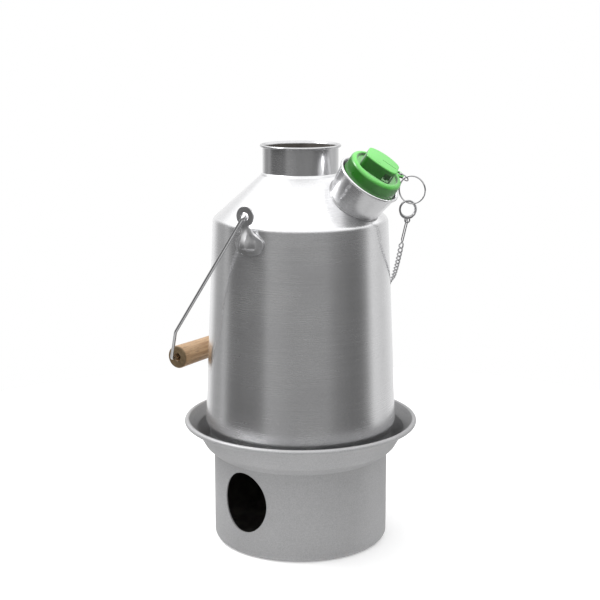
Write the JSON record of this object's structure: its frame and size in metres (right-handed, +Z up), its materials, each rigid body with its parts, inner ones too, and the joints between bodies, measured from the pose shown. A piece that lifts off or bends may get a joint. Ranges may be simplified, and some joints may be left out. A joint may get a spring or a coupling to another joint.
{
  "type": "storm kettle on a fire base",
  "caption": "Double-walled metal camp kettle round an open chimney, standing in the dish of its fire base, with a stoppered side spout and a wire bail with a wooden grip.",
  "frame": {"origin": "middle of the fire base's flat underside", "axes": "+Z up along the chimney, +X towards the spout, the bail hanging on the -X side and its pivots on the Y axis's line"},
  "size_m": [0.1916, 0.1798, 0.3066],
  "materials": {
    "base_aluminium": "satin spun aluminium",
    "kettle_aluminium": "fine brushed aluminium",
    "whistle_aluminium": "plain sheet aluminium",
    "bail_steel": "bright drawn wire",
    "chain_steel": "nickel-plated steel",
    "grip_wood": "turned and waxed hardwood",
    "stopper_green": "semi-gloss green silicone moulding"
  },
  "bodies": {
    "base": {"fire_base": "base_aluminium"},
    "kettle": {"outer_shell": "kettle_aluminium", "chimney_flue": "kettle_aluminium", "spout_tube": "kettle_aluminium", "front_handle_lug": "kettle_aluminium", "rear_handle_lug": "kettle_aluminium", "chain_bracket": "kettle_aluminium", "chain_end_ring": "chain_steel", "stopper_chain": "chain_steel"},
    "bail": {"bail_wire": "bail_steel"},
    "grip": {"bail_grip": "grip_wood"},
    "stopper": {"stopper_cap": "stopper_green", "whistle_disc_lower": "whistle_aluminium", "whistle_spacer": "whistle_aluminium", "whistle_disc_upper": "whistle_aluminium", "stopper_link": "chain_steel", "split_ring": "chain_steel", "clasp_hook": "chain_steel", "clasp_gate": "chain_steel", "connector_link": "chain_steel"}
  },
  "joints": [
    {"name": "kettle_lift", "type": "slide", "parent": "base", "child": "kettle", "axis": [0, 0, 1], "range_m": [0, 0.1]},
    {"name": "bail_swing", "type": "hinge", "parent": "kettle", "child": "bail", "pos_m": [0, 0, 0.26], "axis": [0, 1, 0], "range_deg": [-3.5, 284]},
    {"name": "grip_spin", "type": "hinge", "parent": "bail", "child": "grip", "pos_m": [-0.08948, 0, 0.13775], "axis": [0, 1, 0], "continuous": true},
    {"name": "stopper_pull", "type": "slide", "parent": "kettle", "child": "stopper", "axis": [0.6115, 0, 0.7912], "range_m": [0, 0.03]}
  ]
}
